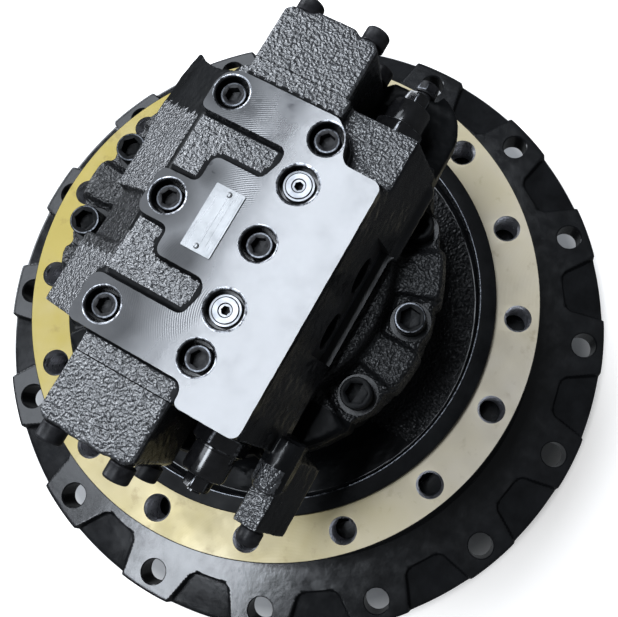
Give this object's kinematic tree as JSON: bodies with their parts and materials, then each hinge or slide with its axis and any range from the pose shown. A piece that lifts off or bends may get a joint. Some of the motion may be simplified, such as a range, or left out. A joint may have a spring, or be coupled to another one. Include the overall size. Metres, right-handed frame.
{
  "type": "excavator final drive",
  "caption": "Track drive for an excavator: a planetary gearbox whose case turns with the sprocket, a fixed frame flange, and a hydraulic travel motor with its valve block on top.",
  "frame": {"origin": "on the main axis, at the bottom face of the gear cover", "axes": "+Z along the main axis towards the motor and its valve block, +X towards the port face of the valve block, +Y along the spool towards the upper end cap"},
  "size_m": [0.638, 0.638, 0.6043],
  "materials": {
    "black_paint": "gloss black paint over rough casting",
    "machined_face": "thin gloss black paint over milled metal",
    "flange_face": "turned face with a light beige rust film",
    "black_oxide": "oiled black oxide",
    "plated_steel": "bright plated steel",
    "nameplate_metal": "satin, bare",
    "ground_steel": "ground and oiled",
    "bronze": "machined bronze",
    "seal_rubber": "matt black"
  },
  "bodies": {
    "hub": {"hub_casing": "black_paint", "motor_casing": "black_paint", "rear_flange": "black_paint", "valve_block": "black_paint", "end_cap_upper": "black_paint", "end_cap_lower": "black_paint", "cap_bolt_upper_1": "black_oxide", "cap_bolt_upper_2": "black_oxide", "cap_bolt_lower_1": "black_oxide", "cap_bolt_lower_2": "black_oxide", "cover_bolt_1": "black_oxide", "cover_bolt_2": "black_oxide", "cover_bolt_3": "black_oxide", "cover_bolt_4": "black_oxide", "cover_bolt_5": "black_oxide", "cover_bolt_6": "black_oxide", "socket_plug_1": "plated_steel", "socket_plug_2": "plated_steel", "nameplate": "nameplate_metal", "case_bolt_1": "black_oxide", "case_bolt_2": "black_oxide", "case_bolt_3": "black_oxide", "relief_valve_upper": "black_oxide", "relief_valve_lower": "black_oxide", "lobe_plug_upper": "black_oxide", "lobe_plug_lower": "black_oxide", "swash_plate": "ground_steel", "valve_plate": "bronze", "carrier_2": "ground_steel", "main_bearing_inner_lower": "ground_steel", "main_bearing_inner_upper": "ground_steel", "seal_ring_hub": "ground_steel", "shaft_bearing_front": "ground_steel", "shaft_bearing_rear": "ground_steel", "spool_spring_upper": "ground_steel", "spool_spring_lower": "ground_steel"},
    "case": {"sprocket_housing": "black_paint", "sprocket_ring": "black_paint", "ring_gear": "black_paint", "gear_cover": "black_paint", "level_plug": "plated_steel", "drain_plug": "plated_steel", "main_bearing_outer_lower": "ground_steel", "main_bearing_outer_upper": "ground_steel", "seal_ring_housing": "ground_steel"},
    "motor": {"motor_shaft": "ground_steel", "cylinder_block": "ground_steel", "piston_set": "bronze", "brake_disc": "ground_steel", "sun_gear_1": "ground_steel"},
    "carrier": {"carrier_1": "ground_steel", "sun_gear_2": "ground_steel"},
    "spool": {"spool": "ground_steel"},
    "brake": {"brake_piston": "ground_steel"},
    "planet_1_a": {"planet_1_a": "ground_steel"},
    "planet_2_a": {"planet_2_a": "ground_steel"},
    "planet_1_b": {"planet_1_b": "ground_steel"},
    "planet_2_b": {"planet_2_b": "ground_steel"},
    "planet_1_c": {"planet_1_c": "ground_steel"},
    "planet_2_c": {"planet_2_c": "ground_steel"}
  },
  "joints": [
    {"name": "housing_spin", "type": "hinge", "parent": "hub", "child": "case", "pos_m": [0, 0, 0.285], "axis": [0, 0, 1], "continuous": true},
    {"name": "motor_spin", "type": "hinge", "parent": "hub", "child": "motor", "pos_m": [0, 0, 0.2], "axis": [0, 0, 1], "continuous": true},
    {"name": "carrier1_spin", "type": "hinge", "parent": "hub", "child": "carrier", "pos_m": [0, 0, 0.1], "axis": [0, 0, 1], "continuous": true},
    {"name": "planet1a_spin", "type": "hinge", "parent": "carrier", "child": "planet_1_a", "pos_m": [0, 0.126, 0.06], "axis": [0, 0, 1], "continuous": true},
    {"name": "planet2a_spin", "type": "hinge", "parent": "hub", "child": "planet_2_a", "pos_m": [0, 0.135, 0.125], "axis": [0, 0, 1], "continuous": true},
    {"name": "planet1b_spin", "type": "hinge", "parent": "carrier", "child": "planet_1_b", "pos_m": [-0.10912, -0.063, 0.06], "axis": [0, 0, 1], "continuous": true},
    {"name": "planet2b_spin", "type": "hinge", "parent": "hub", "child": "planet_2_b", "pos_m": [-0.11691, -0.0675, 0.125], "axis": [0, 0, 1], "continuous": true},
    {"name": "planet1c_spin", "type": "hinge", "parent": "carrier", "child": "planet_1_c", "pos_m": [0.10912, -0.063, 0.06], "axis": [0, 0, 1], "continuous": true},
    {"name": "planet2c_spin", "type": "hinge", "parent": "hub", "child": "planet_2_c", "pos_m": [0.11691, -0.0675, 0.125], "axis": [0, 0, 1], "continuous": true},
    {"name": "spool_slide", "type": "slide", "parent": "hub", "child": "spool", "axis": [0, 1, 0], "range_m": [-0.008, 0.008], "stiffness_N_per_m": 20000, "deforming": ["spool_spring_upper", "spool_spring_lower"]},
    {"name": "brake_release", "type": "slide", "parent": "hub", "child": "brake", "axis": [0, 0, 1], "range_m": [0, 0.003], "stiffness_N_per_m": 50000, "springref_m": -0.01}
  ],
  "couplings": [
    {"joint": "motor_spin", "follows": "housing_spin", "ratio": -23},
    {"joint": "carrier1_spin", "follows": "housing_spin", "ratio": -3.2857},
    {"joint": "planet1a_spin", "follows": "housing_spin", "ratio": 10.952},
    {"joint": "planet2a_spin", "follows": "housing_spin", "ratio": 2.875},
    {"joint": "planet1b_spin", "follows": "housing_spin", "ratio": 10.952},
    {"joint": "planet2b_spin", "follows": "housing_spin", "ratio": 2.875},
    {"joint": "planet1c_spin", "follows": "housing_spin", "ratio": 10.952},
    {"joint": "planet2c_spin", "follows": "housing_spin", "ratio": 2.875}
  ]
}
